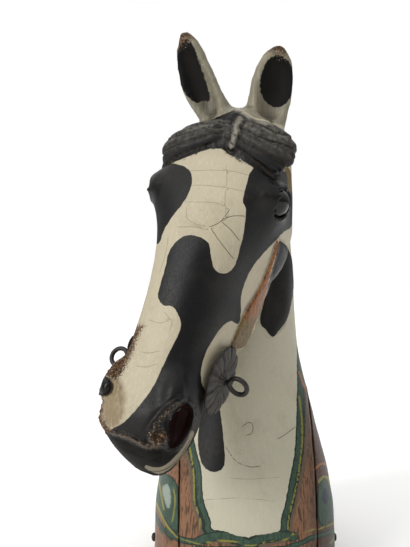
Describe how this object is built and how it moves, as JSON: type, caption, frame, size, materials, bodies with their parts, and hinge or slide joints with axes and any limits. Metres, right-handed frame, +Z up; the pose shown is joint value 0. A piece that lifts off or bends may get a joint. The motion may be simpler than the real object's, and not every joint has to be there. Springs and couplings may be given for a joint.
{
  "type": "carousel horse bust",
  "caption": "Carved and painted wooden carousel horse head and neck on a broad chest cut flat below, with bit rosettes and rein rings.",
  "frame": {"origin": "the centre of the flat underside, on the middle plane of the chest", "axes": "+Z up, the horse faces -Y with its head turned towards -X, +X is the horse's left"},
  "size_m": [0.2997, 0.4454, 0.6893],
  "materials": {
    "painted_wood": "old cream and black paint with fine cracks on wood",
    "painted_mantle": "old salmon paint with teal and yellow ribbons on wood",
    "eye_glass": "glossy black ball",
    "rosette_iron": "dark cast metal with worn edges",
    "ring_iron": "dark rubbed iron wire",
    "bolt_iron": "dark rusted iron"
  },
  "bodies": {
    "root": {"horse_bust": "painted_wood", "shoulder_board_left": "painted_mantle", "shoulder_board_right": "painted_mantle", "eye_left": "eye_glass", "eye_right": "eye_glass", "bit_rosette_left": "rosette_iron", "bit_rosette_right": "rosette_iron", "rein_ring_left": "ring_iron", "rein_ring_right": "ring_iron", "bolt_left": "bolt_iron", "bolt_right": "bolt_iron"}
  },
  "joints": []
}
